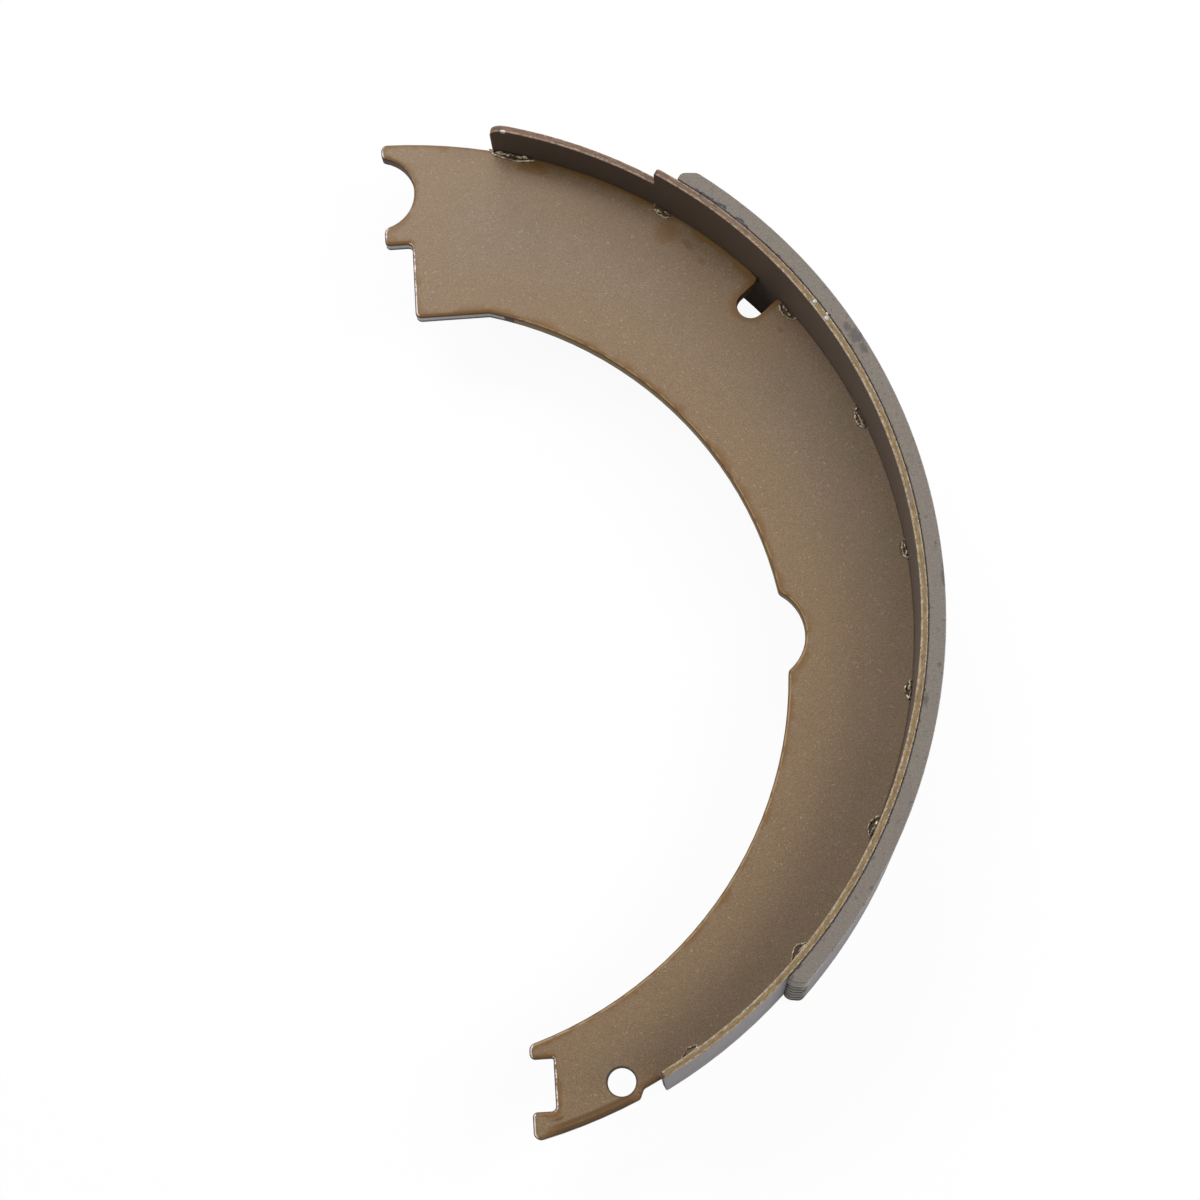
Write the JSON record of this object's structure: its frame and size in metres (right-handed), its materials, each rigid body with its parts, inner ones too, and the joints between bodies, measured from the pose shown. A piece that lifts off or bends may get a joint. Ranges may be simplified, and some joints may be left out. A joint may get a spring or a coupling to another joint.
{
  "type": "brake shoe",
  "caption": "Crescent drum brake shoe: flat web with post seat, fork, spring slot and hole, welded to a curved table with a bonded friction lining.",
  "frame": {"origin": "the drum's centre, on the web's middle plane", "axes": "+Z along the drum's axis, +Y from the drum's centre to the anchor post's centre, +X towards the middle of the lining"},
  "size_m": [0.1505, 0.2893, 0.0508],
  "materials": {
    "web_paint": "satin",
    "table_paint": "satin",
    "friction_lining": "matte",
    "adhesive": "matte",
    "weld_metal": "gloss"
  },
  "bodies": {
    "root": {"web": "web_paint", "table": "table_paint", "lining": "friction_lining", "bond_film": "adhesive", "near_weld_nuggets": "weld_metal", "far_weld_nuggets": "weld_metal"}
  },
  "joints": []
}
